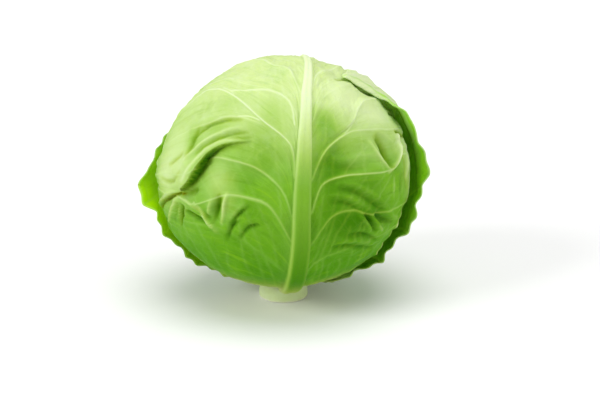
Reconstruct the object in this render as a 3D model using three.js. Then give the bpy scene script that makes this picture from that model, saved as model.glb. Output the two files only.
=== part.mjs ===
import * as THREE from "three";

// A head of round green cabbage, about 7 inches across, as it is sold: a tight ball of leaves on
// its cut stem, with the last wrapper leaves still round it. Millimetres, +Z up, and -Y is the side
// that the big front leaf covers. The origin is the middle of the cut face that the head rests on.
//
// Each leaf is a thin blade wrapped round the ball. It is drawn flat first, on a sheet whose origin
// is the leaf's middle: x runs across and y from the stem towards the tip, in millimetres of arc.

// Ball
const headCentreHeight = 90;
const halfWidth = 88;
const halfDepth = 84;
const halfHeightAbove = 84;
const halfHeightBelow = 79;
const sheetRadius = 86; // turns millimetres on the sheet into an angle round the ball
const shoulders = [
  { towards: [-0.75, -0.2, 0.63], depth: 4.4, spread: 0.5 },
  { towards: [-0.3, -0.1, 0.95], depth: 1.7, spread: 0.4 },
  { towards: [0.1, 0.85, 0.5], depth: 3, spread: 0.6 },
];

// Blades
const bladeThickness = 1.0;
const veinWidth = 2.4;
const leanFrom = -15; // a leaf that leans comes down between these places across its sheet
const leanTo = 40;
const frillReach = 16;
const fullSagSpacing = 26; // side veins this far apart let the blade between them sag fully
const troughRoundness = 1.4;

// Stem and heart
const stumpRadius = 17.4;
const coreTopHeight = 92;
const gap = 0.4;
const heartLift = -12.4;
const heartRows = 18;
const heartColumns = 28;

const clamp = THREE.MathUtils.clamp;
const lerp = THREE.MathUtils.lerp;
const smoothstep = THREE.MathUtils.smoothstep;
const radians = THREE.MathUtils.degToRad;

function spline(points) {
  return new THREE.SplineCurve(points.map(([x, y]) => new THREE.Vector2(x, y)));
}

// Distance from the ball's centre to the front leaf's outer face, along a unit direction.
function ballRadius(direction) {
  const halfHeight = direction.z > 0 ? halfHeightAbove : halfHeightBelow;
  let radius = 1 / Math.hypot(direction.x / halfWidth, direction.y / halfDepth, direction.z / halfHeight);
  for (const { towards, depth, spread } of shoulders) {
    const away = direction.distanceTo(new THREE.Vector3(...towards).normalize());
    radius -= depth * Math.exp(-((away / spread) ** 2));
  }
  return radius;
}

// The direction from the ball's centre to the point x, y on a leaf's flat sheet.
function wrapRound(leaf, x, y) {
  const azimuth = radians(leaf.azimuth);
  const elevation = radians(leaf.elevation);
  const middle = new THREE.Vector3(
    Math.cos(elevation) * Math.sin(azimuth),
    -Math.cos(elevation) * Math.cos(azimuth),
    Math.sin(elevation),
  );
  const across = new THREE.Vector3(Math.cos(azimuth), Math.sin(azimuth), 0);
  const tipwards = new THREE.Vector3().crossVectors(across, middle).negate();
  const arc = Math.hypot(x, y);
  if (arc < 1e-9) return middle;
  const angle = arc / sheetRadius;
  const sideways = across.multiplyScalar(x / arc).addScaledVector(tipwards, y / arc);
  return middle.multiplyScalar(Math.cos(angle)).addScaledVector(sideways, Math.sin(angle));
}

// How far an outline or a fold stands from a point: signed distance, and share along the line.
function nearestOnCurve(curve, x, y) {
  const steps = 48;
  let best = { distance: Infinity, along: 0, side: 1 };
  for (let i = 0; i < steps; i++) {
    const a = curve.getPoint(i / steps);
    const b = curve.getPoint((i + 1) / steps);
    const run = b.clone().sub(a);
    const to = new THREE.Vector2(x, y).sub(a);
    const share = clamp(to.dot(run) / run.lengthSq(), 0, 1);
    const distance = to.clone().addScaledVector(run, -share).length();
    if (distance < best.distance) {
      best = { distance, along: (i + share) / steps, side: Math.sign(run.cross(to)) || 1 };
    }
  }
  return best;
}

// A value given at even shares of a line.
function alongSteps(values, share) {
  const place = share * (values.length - 1);
  const i = Math.min(Math.floor(place), values.length - 2);
  return lerp(values[i], values[i + 1], place - i);
}

// A fold laps one side of its line over a trough on the other: a lip that fades away behind.
function foldLift(fold, x, y) {
  const { distance, along, side } = nearestOnCurve(fold.curve, x, y);
  const signed = distance * side * fold.lapSide;
  const past = Math.max(0, signed - fold.lipEdge);
  const spread = fold.lipShare * Math.exp(-past / fold.lipReach) + (1 - fold.lipShare) * Math.exp(-past / fold.reach);
  const lip = smoothstep(signed, -fold.lipEdge, fold.lipEdge) * spread;
  const outside = Math.max(0, -signed) / fold.troughReach;
  const trough = signed < 0 ? Math.exp(-(outside ** troughRoundness)) : 0;
  const beyondEnds = along < 0.001 || along > 0.999 ? clamp(distance / 2, 0, 1) : 0;
  return (alongSteps(fold.height, along) * lip - alongSteps(fold.trough, along) * trough) * (1 - beyondEnds);
}

// Side veins of a leaf given only by its outline: each leaves the midrib, then arches to the margin.
function archedVeins(leaf, margin, side) {
  const veins = [];
  const count = leaf.veinPairs;
  for (let k = 0; k <= count; k++) {
    const share = k / count;
    const marginShare = lerp(0.16, 0.86, share);
    if (k === 0 || k === count) {
      const from = k === 0 ? 0 : 1;
      const points = [0, 0.34, 0.67, 1].map((u) => margin.getPointAt(lerp(from, marginShare, u)));
      veins.push(points.map((p) => [p.x, p.y]));
      continue;
    }
    const stagger = side * 0.018;
    const y = lerp(leaf.base, leaf.tip, 0.07 + 0.8 * share ** 1.12 + stagger);
    const end = margin.getPointAt(marginShare);
    const x = leaf.midrib.getPointAt(clamp((y - leaf.base) / (leaf.tip - leaf.base), 0, 1)).x;
    const bow = 0.5 + 0.1 * Math.sin(5.1 * k + 2.3 * side + leaf.azimuth);
    const bend = [lerp(x, end.x, bow), y + (end.y - y) * lerp(0.62, 0.4, share)];
    veins.push([[x, y], bend, [end.x, end.y]]);
  }
  return veins;
}

// Millimetres given at heights of the sheet: how far a margin stands off the ball or is tucked down.
function flareAt(steps, y) {
  let next = steps.findIndex(([height]) => height >= y);
  if (next < 0) next = steps.length - 1;
  const [lowY, low] = steps[Math.max(next - 1, 0)];
  const [highY, high] = steps[next];
  return lerp(low, high, smoothstep(y, lowY, Math.max(highY, lowY + 1)));
}

const ribHalfWidth = (leaf, y) => {
  const share = clamp((y - leaf.base) / (leaf.tip - leaf.base), 0, 1);
  return lerp(leaf.rib.halfWidth[0], leaf.rib.halfWidth[1], share ** 0.75);
};
const ribHeight = (leaf, y) => {
  const share = clamp((y - leaf.base) / (leaf.tip - leaf.base), 0, 1);
  return lerp(leaf.rib.height[0], leaf.rib.height[1], share ** 0.6);
};

// The flat sheet's grid on one side of the midrib: rows follow the side veins, from stem to tip.
function sideGrid(leaf, side) {
  const margin = spline(leaf.margin[side < 0 ? 0 : 1]);
  const veins = leaf.veins ? leaf.veins[side < 0 ? 0 : 1] : archedVeins(leaf, margin, side);
  const columns = leaf.columns;
  const lines = veins.map((points) => {
    const [, y] = points[0];
    const share = clamp((y - leaf.base) / (leaf.tip - leaf.base), 0, 1);
    const x = leaf.midrib.getPointAt(share).x + side * ribHalfWidth(leaf, y);
    const curve = spline([[x, y], ...points.slice(1)]);
    const length = curve.getLength();
    return { length, points: Array.from({ length: columns + 1 }, (_, j) => curve.getPointAt(j / columns)) };
  });
  const last = lines.length - 1;
  const ends = new THREE.SplineCurve(lines.map((line) => line.points[columns]));
  const rows = [];
  for (let k = 0; k <= last; k++) {
    for (const f of k === last ? [0] : leaf.rowsBetweenVeins) {
      const here = lines[k];
      const next = lines[Math.min(k + 1, last)];
      const strength = f < 0.5 ? leaf.strength(k) : leaf.strength(k + 1);
      const row = here.points.map((p, j) => {
        const t = j / columns;
        const point = p.clone().lerp(next.points[j], f);
        const straightEnd = here.points[columns].clone().lerp(next.points[columns], f);
        point.addScaledVector(ends.getPoint((k + f) / last).sub(straightEnd), t ** 3);
        const spacing = p.distanceTo(next.points[j]);
        const toMargin = (1 - t) * lerp(here.length, next.length, f);
        return { x: point.x, y: point.y, t, f, order: k + f, spacing, strength, toMargin, side };
      });
      rows.push(row);
    }
  }
  return rows;
}

// Height of the blade over the ball: body is the whole blade, ridge is only the veins on its outside.
function bladeRelief(leaf, p) {
  const { x, y, t, f, order, spacing, strength, toMargin, side } = p;
  const fromVein = Math.min(f, 1 - f) * spacing;
  const taper = (1 - t) ** 0.6;
  const ridge = leaf.veinHeight * strength * taper * Math.exp(-((fromVein / veinWidth) ** 2));
  const sagShape = Math.sin(Math.PI * f) * Math.sin(Math.PI * clamp(0.12 + t * 0.8, 0, 1));
  const lean = leaf.lean * smoothstep(x * leaf.leanSide, leanFrom, leanTo);
  const tuck = leaf.tuck ? flareAt(leaf.tuck, y) * smoothstep(x * leaf.leanSide, 0, leanTo) : 0;
  let body = leaf.lift - lean - tuck - leaf.sag * Math.min(1, spacing / fullSagSpacing) * sagShape;
  const reach = clamp(1 - toMargin / leaf.flareReach, 0, 1);
  body += flareAt(leaf.flare[side < 0 ? 0 : 1], y) * reach ** 2;
  const frill = leaf.frill[side < 0 ? 0 : 1] * clamp(1 - toMargin / frillReach, 0, 1) ** 1.5;
  body += frill * Math.sin(order * leaf.frillTurns + leaf.azimuth * 0.7 + side);
  for (const fold of leaf.folds ?? []) body += foldLift(fold, x, y);
  return { body, ridge };
}

// The whole blade as one closed solid: an outer face with its ribs, a smooth inner face and a rim.
function bladeGeometry(leaf) {
  const left = sideGrid(leaf, -1);
  const right = sideGrid(leaf, 1);
  const ribSection = [
    [-0.55, 0.82],
    [0, 1],
    [0.55, 0.82],
  ];
  const outer = [];
  const inner = [];
  const width = 2 * (leaf.columns + 1) + ribSection.length;
  const place = (x, y, height, list) => {
    const direction = wrapRound(leaf, x, y);
    list.push(...direction.clone().multiplyScalar(ballRadius(direction) + height).toArray());
  };
  left.forEach((leftRow, i) => {
    const rightRow = right[i];
    const leftFoot = leftRow[0];
    const rightFoot = rightRow[0];
    const addPoint = (p) => {
      const { body, ridge } = bladeRelief(leaf, p);
      const rootFade = smoothstep(p.t, 0, 0.06);
      place(p.x, p.y, body + ridge * lerp(0.4, 1, rootFade), outer);
      place(p.x, p.y, body - leaf.thickness, inner);
    };
    [...leftRow].reverse().forEach(addPoint);
    const bodyLeft = bladeRelief(leaf, leftFoot).body;
    const bodyRight = bladeRelief(leaf, rightFoot).body;
    for (const [offset, height] of ribSection) {
      const share = (offset + 1) / 2;
      const x = lerp(leftFoot.x, rightFoot.x, share);
      const y = lerp(leftFoot.y, rightFoot.y, share);
      const body = lerp(bodyLeft, bodyRight, share);
      place(x, y, body + height * ribHeight(leaf, y), outer);
      place(x, y, body - leaf.thickness, inner);
    }
    rightRow.forEach(addPoint);
  });
  const rows = left.length;
  const innerStart = rows * width;
  const index = [];
  const quad = (a, b, c, d) => index.push(a, b, c, a, c, d);
  for (let i = 0; i + 1 < rows; i++) {
    for (let j = 0; j + 1 < width; j++) {
      const a = i * width + j;
      quad(a, a + 1, a + width + 1, a + width);
      const b = innerStart + a;
      index.push(b, b + width + 1, b + 1, b, b + width, b + width + 1);
    }
  }
  const rimLine = (a, b) => quad(b, a, innerStart + a, innerStart + b);
  for (let j = 0; j + 1 < width; j++) {
    rimLine(j, j + 1);
    rimLine((rows - 1) * width + j + 1, (rows - 1) * width + j);
  }
  for (let i = 0; i + 1 < rows; i++) {
    rimLine((i + 1) * width, i * width);
    rimLine(i * width + width - 1, (i + 1) * width + width - 1);
  }
  const geometry = new THREE.BufferGeometry();
  geometry.setAttribute("position", new THREE.Float32BufferAttribute([...outer, ...inner], 3));
  geometry.setIndex(index);
  return geometry;
}

// Leaves, from the outside of the head inwards
const evenVeins = (k) => (k === 0 ? 0 : 1);
const frontVeinStrength = [0, 0.7, 0.7, 0.9, 1, 1, 1, 0.9, 0.8, 0.5, 0];

const outerLeafLeft = {
  name: "outer_leaf_left",
  azimuth: -145,
  elevation: 10,
  lift: 7.8,
  lean: 3.8,
  leanSide: 1,
  base: -129,
  tip: 50,
  midrib: spline([[0, -129], [3, -60], [0, -10], [6, 50]]),
  margin: [
    [[0, -129], [-34, -124], [-66, -86], [-84, -38], [-86, 0], [-76, 30], [-50, 48], [-22, 56], [6, 50]],
    [
      [0, -129], [38, -124], [72, -94], [90, -62], [93, -40], [93, -25], [86, -11], [71, -1], [55, 9], [42, 21],
      [33, 33], [22, 43], [6, 50],
    ],
  ],
  tuck: [[-18, 0], [-2, 2.6], [20, 2.6], [40, 1]],
  veinPairs: 7,
  strength: evenVeins,
  veinHeight: 1.4,
  sag: 1.6,
  rib: { halfWidth: [9, 2], height: [4.2, 0.8] },
  flare: [
    [[-130, 0], [0, 0.6], [80, 0]],
    [[-120, 0], [-85, 1.5], [-50, 2], [-37, 3], [-27, 8.5], [-14, 9], [-4, 5.5], [6, 2], [26, 0.3], [70, 0]],
  ],
  flareReach: 34,
  frill: [0.4, 1.2],
  frillTurns: 4.6,
  columns: 8,
  rowsBetweenVeins: [0, 0.2, 0.5, 0.8],
  thickness: bladeThickness,
  colour: "#7fb53a",
};

const outerLeafRight = {
  name: "outer_leaf_right",
  azimuth: 140,
  elevation: 12,
  lift: 4.2,
  lean: -2.4,
  leanSide: -1,
  base: -132,
  tip: 54,
  midrib: spline([[0, -132], [-4, -60], [0, 0], [-4, 54]]),
  margin: [
    [
      [0, -132], [-38, -126], [-72, -96], [-92, -58], [-99, -32], [-96, -12], [-92, 6], [-85, 20], [-84, 36],
      [-75, 52], [-66, 66], [-60, 80], [-60, 103], [-50, 92], [-42, 78], [-32, 66], [-19, 57], [-4, 54],
    ],
    [[0, -132], [32, -127], [60, -96], [78, -60], [86, -18], [82, 16], [64, 40], [36, 52], [-4, 54]],
  ],
  tuck: [[36, 0], [50, 1.5], [64, 3.5], [80, 4.0]],
  veinPairs: 7,
  strength: evenVeins,
  veinHeight: 1.1,
  sag: 1.8,
  rib: { halfWidth: [9, 2], height: [4.4, 0.8] },
  flare: [
    [[-125, 0], [-90, 0], [-62, 1.5], [-40, 3], [-21, 4.5], [-4, 6], [7, 7], [18, 5], [40, 4.5], [52, 1], [60, 0]],
    [[-125, 0], [0, 0.3], [80, 0]],
  ],
  flareReach: 26,
  frill: [1.8, 0.1],
  frillTurns: 5.2,
  columns: 8,
  rowsBetweenVeins: [0, 0.2, 0.5, 0.8],
  thickness: bladeThickness,
  colour: "#6aa52c",
};

const frontLeaf = {
  name: "front_leaf",
  azimuth: 9,
  elevation: 5,
  lift: 0,
  lean: 0,
  leanSide: 1,
  base: -121,
  tip: 172,
  midrib: spline([[0, -121], [0, -30], [0, 0], [3, 32], [8, 69], [20, 110], [33, 140], [38, 172]]),
  margin: [
    [[0, -121], [-40, -113], [-112, -72], [-139, -12], [-136, 38], [-98, 105], [38, 172]],
    [[0, -121], [40, -106], [80, -70], [111, 8], [108, 60], [92, 135], [38, 172]],
  ],
  veins: [
    [
      [[0, -121], [-40, -118], [-80, -102], [-112, -75]],
      [[0, -97], [-34, -84], [-76, -74], [-124, -52]],
      [[0, -64], [-28, -42], [-58, -24], [-92, -26], [-136, -28]],
      [[0, -30], [-21, -5], [-36, 1], [-51, 2], [-64, -3], [-78, -8], [-92, -5], [-139, -9]],
      [[0, -12], [-13, 6], [-28, 20], [-46, 26], [-64, 28], [-78, 18], [-92, 13], [-110, 12], [-141, 4]],
      [[0, 3], [-9, 33], [-25, 53], [-48, 59], [-74, 54], [-98, 49], [-134, 34]],
      [[0, 14], [-8, 42], [-26, 60], [-48, 80], [-70, 95], [-88, 96], [-118, 76]],
      [[3, 38], [-1, 62], [-14, 79], [-40, 91], [-60, 107], [-96, 112]],
      [[8, 74], [1, 102], [-12, 114], [-24, 130], [-46, 150]],
      [[20, 112], [10, 134], [-6, 152], [-18, 164]],
      [[38, 172], [26, 173], [12, 171], [0, 169]],
    ],
    [
      [[0, -121], [34, -118], [62, -98], [82, -73]],
      [[0, -90], [26, -76], [54, -64], [86, -55]],
      [[0, -60], [20, -47], [48, -42], [92, -38]],
      [[0, -34], [20, -14], [36, -11], [54, -17], [100, -20]],
      [[0, -10], [14, 8], [29, 13], [45, 13], [65, 12], [78, 14], [89, 22], [108, 20]],
      [[0, 12], [18, 31], [36, 42], [50, 44], [80, 43], [109, 44]],
      [[2, 24], [20, 37], [36, 46], [44, 52], [50, 60], [58, 67], [75, 71], [110, 74]],
      [[5, 50], [25, 72], [50, 84], [78, 94], [105, 98]],
      [[9, 76], [24, 94], [45, 106], [72, 122], [92, 128]],
      [[23, 120], [40, 134], [56, 146], [70, 153]],
      [[38, 172], [48, 170], [56, 166], [62, 162]],
    ],
  ],
  strength: (k) => frontVeinStrength[k],
  veinHeight: 1.3,
  sag: 1.4,
  rib: { halfWidth: [9.5, 2.2], height: [4.8, 1.1] },
  flare: [
    [[-120, 0], [-40, 0.4], [10, 0.8], [60, 0], [100, 0]],
    [[-120, 0], [-60, 0.6], [0, 1], [60, 0.4], [100, 0]],
  ],
  flareReach: 22,
  frill: [0.5, 0.7],
  frillTurns: 3.7,
  folds: [
    {
      curve: spline([
        [-34, 40], [-40, 39], [-47, 38], [-56, 35.5], [-63, 30], [-69, 22], [-74, 14], [-81, 6], [-90, -1],
      ]),
      lapSide: -1,
      height: [0.6, 2.2, 3.2, 4.6, 5.6, 5.8, 5.2, 4.2, 2],
      trough: [0.1, 0.6, 1.2, 2, 2.9, 3.1, 2.8, 2.3, 0.7],
      lipEdge: 1.2,
      lipShare: 0.5,
      lipReach: 3.2,
      reach: 16,
      troughReach: 7.5,
    },
  ],
  columns: 16,
  rowsBetweenVeins: [0, 0.14, 0.38, 0.62, 0.86],
  thickness: bladeThickness,
  colour: "#a9d166",
};

// An inner wrapper lies flat on the ball, under the leaves above, so it is drawn from a round outline.
function innerWrapper(name, azimuth, elevation, lift, reachAbove) {
  const base = -(90 + elevation) * radians(sheetRadius) + 25;
  const roundSide = (side) => [
    [0, base],
    [side * 38, base + 2],
    [side * 74, base + 28],
    [side * 94, base + 82],
    [side * 96, reachAbove * 0.35],
    [side * 62, reachAbove * 0.8],
    [side * 26, reachAbove * 0.97],
    [0, reachAbove],
  ];
  return {
    name,
    azimuth,
    elevation,
    lift,
    lean: 0,
    leanSide: 1,
    base,
    tip: reachAbove,
    midrib: spline([[0, base], [0, reachAbove]]),
    margin: [roundSide(-1), roundSide(1)],
    veinPairs: 5,
    strength: evenVeins,
    veinHeight: 0.5,
    sag: 0.3,
    rib: { halfWidth: [7, 1.6], height: [0.7, 0.4] },
    flare: [[[0, 0]], [[0, 0]]],
    flareReach: 20,
    frill: [0, 0],
    frillTurns: 1,
    columns: 6,
    rowsBetweenVeins: [0, 0.33, 0.67],
    thickness: 0.9,
    colour: "#b9dc7c",
  };
}

const leaves = [
  outerLeafLeft,
  outerLeafRight,
  frontLeaf,
  innerWrapper("wrapper_leaf_back", 176, 16, -4.2, 112),
  innerWrapper("wrapper_leaf_left", -72, 12, -6.5, 96),
  innerWrapper("wrapper_leaf_right", 78, 12, -8.8, 96),
];

// The stem: a cut stump below the leaves that goes on as the tapering core inside the ball.
const coreProfile = [
  [0, 0],
  [stumpRadius - 1.6, 0],
  [stumpRadius, 1.8],
  [stumpRadius - 0.4, 12],
  [stumpRadius - 0.8, 22],
  [13, 40],
  [9, 62],
  [5, 82],
  [0, coreTopHeight],
];

function stemGeometry() {
  const profile = coreProfile.map(([r, z]) => new THREE.Vector2(r, z));
  return new THREE.LatheGeometry(profile, 28).rotateX(Math.PI / 2);
}

// The heart: the tight inner leaves as one ball, with a socket in which the core stands. Its outside
// steps up a little at the edge of each leaf that laps over the next.
function heartGeometry() {
  const lapped = [
    [0.3, -0.5, 0.8],
    [-0.6, 0.5, 0.6],
    [0.5, 0.7, 0.4],
  ].map((towards) => new THREE.Vector3(...towards).normalize());
  const socket = coreProfile
    .slice(5)
    .reverse()
    .map(([r, z]) => [r === 0 ? 0 : r + gap, r === 0 ? z + 1.5 : z]);
  const mouthRadius = stumpRadius - 0.8 + gap;
  const firstAngle = radians(14.5);
  const position = [];
  const addRow = (pointAt) => {
    for (let j = 0; j < heartColumns; j++) position.push(...pointAt((j / heartColumns) * 2 * Math.PI));
  };
  for (const [r, z] of [...socket.slice(1), [mouthRadius, 24]]) {
    addRow((turn) => [r * Math.cos(turn), r * Math.sin(turn), z - headCentreHeight]);
  }
  for (let i = 0; i < heartRows; i++) {
    const polar = lerp(Math.PI - firstAngle, radians(9), i / (heartRows - 1));
    addRow((turn) => {
      const direction = new THREE.Vector3().setFromSphericalCoords(1, polar, turn);
      direction.set(direction.z, direction.x, direction.y);
      const laps = lapped.map((towards) => smoothstep(1.05 - direction.distanceTo(towards), -0.05, 0.05));
      const lift = heartLift + 0.5 * laps.reduce((sum, lap) => sum + lap, 0);
      return direction.multiplyScalar(ballRadius(direction) + lift).toArray();
    });
  }
  const rows = position.length / 3 / heartColumns;
  const socketEnd = position.length / 3;
  position.push(0, 0, socket[0][1] - headCentreHeight);
  const crown = position.length / 3;
  position.push(0, 0, halfHeightAbove + heartLift + 0.3);
  const index = [];
  for (let j = 0; j < heartColumns; j++) {
    const next = (j + 1) % heartColumns;
    index.push(socketEnd, next, j);
    for (let i = 0; i + 1 < rows; i++) {
      const a = i * heartColumns + j;
      const b = i * heartColumns + next;
      index.push(a, b + heartColumns, a + heartColumns, a, b, b + heartColumns);
    }
    const top = (rows - 1) * heartColumns;
    index.push(top + j, top + next, crown);
  }
  const geometry = new THREE.BufferGeometry();
  geometry.setAttribute("position", new THREE.Float32BufferAttribute(position, 3));
  geometry.setIndex(index);
  return geometry;
}

function waxySkin(colour, roughness) {
  return new THREE.MeshStandardMaterial({ color: colour, roughness, metalness: 0 });
}

const cabbage = new THREE.Group();
const ball = new THREE.Group();
ball.position.z = headCentreHeight;
cabbage.add(ball);

function addPiece(parent, name, geometry, material) {
  const mesh = new THREE.Mesh(geometry, material);
  mesh.name = name;
  parent.add(mesh);
}

addPiece(cabbage, "stem_core", stemGeometry(), waxySkin("#dfe3c4", 0.7));
addPiece(ball, "heart", heartGeometry(), waxySkin("#cfe6a2", 0.5));
for (const leaf of leaves) addPiece(ball, leaf.name, bladeGeometry(leaf), waxySkin(leaf.colour, 0.45));

export default cabbage;
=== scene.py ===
# A round head of green cabbage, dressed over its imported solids.
import bpy
import math
import numpy as np
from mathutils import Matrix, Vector, noise


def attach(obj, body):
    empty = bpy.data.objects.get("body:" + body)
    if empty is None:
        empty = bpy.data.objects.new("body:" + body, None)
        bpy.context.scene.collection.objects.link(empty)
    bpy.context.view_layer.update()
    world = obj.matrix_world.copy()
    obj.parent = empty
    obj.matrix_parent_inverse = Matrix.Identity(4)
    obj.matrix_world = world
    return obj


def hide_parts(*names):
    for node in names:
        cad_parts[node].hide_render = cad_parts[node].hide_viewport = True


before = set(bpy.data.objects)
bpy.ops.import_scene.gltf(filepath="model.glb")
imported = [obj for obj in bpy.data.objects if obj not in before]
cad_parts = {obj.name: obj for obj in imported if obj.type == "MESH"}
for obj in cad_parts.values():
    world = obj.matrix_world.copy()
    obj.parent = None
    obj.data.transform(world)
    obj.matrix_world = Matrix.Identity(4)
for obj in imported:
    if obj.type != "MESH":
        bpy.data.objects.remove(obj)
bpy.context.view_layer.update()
print("loaded the packed head")

mm = 0.001

# the ball that every leaf wraps round, in mm
ball = {
    "centreHeight": 90.0,
    "halfWidth": 88.0,
    "halfDepth": 84.0,
    "halfHeightAbove": 84.0,
    "halfHeightBelow": 79.0,
    "sheetRadius": 86.0,  # turns millimetres on a leaf's flat sheet into an angle round the ball
    # where the ball is less full: towards which side, how deep in mm and how widely
    "shoulders": [((-0.75, -0.2, 0.63), 4.4, 0.5), ((-0.3, -0.1, 0.95), 1.7, 0.4),
                  ((0.1, 0.85, 0.5), 3.0, 0.6)],
}
sheetSpan = 300  # mm of a leaf in one unit of its maps
# straight runs in each kind of drawn line
lineSteps = {"fold": 40, "sideVein": 30, "extraVein": 16, "crease": 14, "crossVein": 5}
tiny = 1e-9  # keeps a division from meeting zero


def unit(v):
    v = np.asarray(v, float)
    return v / np.linalg.norm(v, axis=-1, keepdims=True)


def smoothStep(x, low, high):
    t = np.clip((x - low) / (high - low), 0, 1)
    return t * t * (3 - 2 * t)


def bump(x, width):
    return np.exp(-((x / width) ** 2))


def ballRadius(d):
    half = np.where(d[..., 2] > 0, ball["halfHeightAbove"], ball["halfHeightBelow"])
    stretched = np.stack([d[..., 0] / ball["halfWidth"], d[..., 1] / ball["halfDepth"], d[..., 2] / half], -1)
    r = 1 / np.linalg.norm(stretched, axis=-1)
    for towards, depth, spread in ball["shoulders"]:
        r = r - depth * bump(np.linalg.norm(d - unit(towards), axis=-1), spread)
    return r


# the direction from the ball's centre to the point x, y of a leaf's flat sheet
def wrapRound(leaf, x, y):
    a, e = math.radians(leaf["azimuth"]), math.radians(leaf["elevation"])
    middle = np.array([math.cos(e) * math.sin(a), -math.cos(e) * math.cos(a), math.sin(e)])
    across = np.array([math.cos(a), math.sin(a), 0])
    tipwards = np.array([-math.sin(e) * math.sin(a), math.sin(e) * math.cos(a), math.cos(e)])
    arc = np.hypot(x, y) + tiny
    angle = (arc / ball["sheetRadius"])[..., None]
    sideways = (x / arc)[..., None] * across + (y / arc)[..., None] * tipwards
    return middle * np.cos(angle) + sideways * np.sin(angle)


# a smooth line through points, read at shares of its way
def alongLine(points, shares):
    p = np.asarray(points, float)
    n = len(p)
    s = np.clip(np.asarray(shares, float), 0, 1) * (n - 1)
    i = np.minimum(s.astype(int), n - 1)
    w = (s - i)[..., None]
    p0, p1 = p[np.maximum(i - 1, 0)], p[i]
    p2, p3 = p[np.minimum(i + 1, n - 1)], p[np.minimum(i + 2, n - 1)]
    v0, v1 = (p2 - p0) / 2, (p3 - p1) / 2
    cubic = 2 * p1 - 2 * p2 + v0 + v1
    square = 3 * p2 - 3 * p1 - 2 * v0 - v1
    return cubic * w**3 + square * w**2 + v0 * w + p1


# the same, read at shares of its length
def alongLength(points, shares):
    fine = alongLine(points, np.linspace(0, 1, 201))
    run = np.concatenate([[0], np.cumsum(np.linalg.norm(np.diff(fine, axis=0), axis=1))])
    run /= run[-1]
    shares = np.asarray(shares, float)
    return np.stack([np.interp(shares, run, fine[:, k]) for k in range(2)], -1)


# a value given at heights of the sheet, eased between them
def stepsAt(steps, y):
    s = np.asarray(steps, float)
    out = np.full(np.shape(y), s[0, 1])
    for (y0, a), (y1, b) in zip(s[:-1], s[1:]):
        out = np.where(y >= y0, a + (b - a) * smoothStep(y, y0, y1), out)
    return out


# distance to a line of points, the share along it, and the side of it: 1 on its left, -1 on its right
def nearestOnLine(kind, points, x, y):
    samples = lineSteps[kind]
    c = alongLine(points, np.linspace(0, 1, samples + 1))
    best = np.full(x.shape, np.inf)
    along = np.zeros(x.shape)
    side = np.ones(x.shape)
    for i in range(samples):
        run = c[i + 1] - c[i]
        tx, ty = x - c[i, 0], y - c[i, 1]
        share = np.clip((tx * run[0] + ty * run[1]) / (run @ run + 1e-12), 0, 1)
        d = np.hypot(tx - share * run[0], ty - share * run[1])
        nearer = d < best
        best = np.where(nearer, d, best)
        along = np.where(nearer, (i + share) / samples, along)
        side = np.where(nearer, np.sign(run[0] * ty - run[1] * tx + 1e-12), side)
    return best, along, side


# the share of the midrib's way from base to tip at a height of the sheet
def ribShare(leaf, y):
    return np.clip((y - leaf["base"]) / (leaf["tip"] - leaf["base"]), 0, 1)


# the midrib's half width or its height there; below 1 it shrinks faster near the base
ribTaper = {"halfWidth": 0.75, "height": 0.6}


def ribSize(leaf, key, y):
    atBase, atTip = leaf["rib"][key]
    return atBase + (atTip - atBase) * ribShare(leaf, y) ** ribTaper[key]


# side veins of a leaf that is given only by its outline: each leaves the midrib and arches to the margin
arch = {
    "onMargin": (0.16, 0.86),  # shares of the margin's length where the first and the last vein end
    "onRib": (0.07, 0.8),  # share of the midrib where the veins begin, and the share they spread over
    "crowding": 1.12,  # above 1 they stand closer near the base
    "stagger": 0.018,  # keeps the two sides' veins from meeting
    "bow": (0.5, 0.1),  # how far out the middle of the arch is, and how much that varies
    "lift": (0.62, 0.4),  # how far up it is, near the base and near the tip
}


def archedVeins(leaf, side):
    margin = leaf["margin"][0 if side < 0 else 1]
    count = leaf["veinPairs"]
    veins = []
    for k in range(count + 1):
        share = k / count
        marginShare = arch["onMargin"][0] + (arch["onMargin"][1] - arch["onMargin"][0]) * share
        if k in (0, count):  # the first and the last row follow the margin itself
            start = 0 if k == 0 else 1
            shares = [start + (marginShare - start) * u for u in (0, 0.34, 0.67, 1)]
            veins.append(alongLength(margin, shares).tolist())
            continue
        upRib = arch["onRib"][0] + arch["onRib"][1] * share ** arch["crowding"] + side * arch["stagger"]
        y = leaf["base"] + (leaf["tip"] - leaf["base"]) * upRib
        end = alongLength(margin, [marginShare])[0]
        x = alongLength(leaf["midrib"], [float(ribShare(leaf, y))])[0, 0]
        bow = arch["bow"][0] + arch["bow"][1] * math.sin(5.1 * k + 2.3 * side + leaf["azimuth"])
        lift = arch["lift"][0] + (arch["lift"][1] - arch["lift"][0]) * share
        veins.append([[x, y], [x + (end[0] - x) * bow, y + (end[1] - y) * lift], end.tolist()])
    return veins


# side veins of one side, from the base row to the tip row, each starting at the midrib's foot
def guideLines(leaf, side):
    veins = leaf["veins"][0 if side < 0 else 1] if "veins" in leaf else archedVeins(leaf, side)
    lines = []
    for points in veins:
        y = points[0][1]
        x = alongLength(leaf["midrib"], [float(ribShare(leaf, y))])[0, 0]
        x += side * float(ribSize(leaf, "halfWidth", y))
        lines.append([[x, y]] + points[1:])
    return lines


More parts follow.
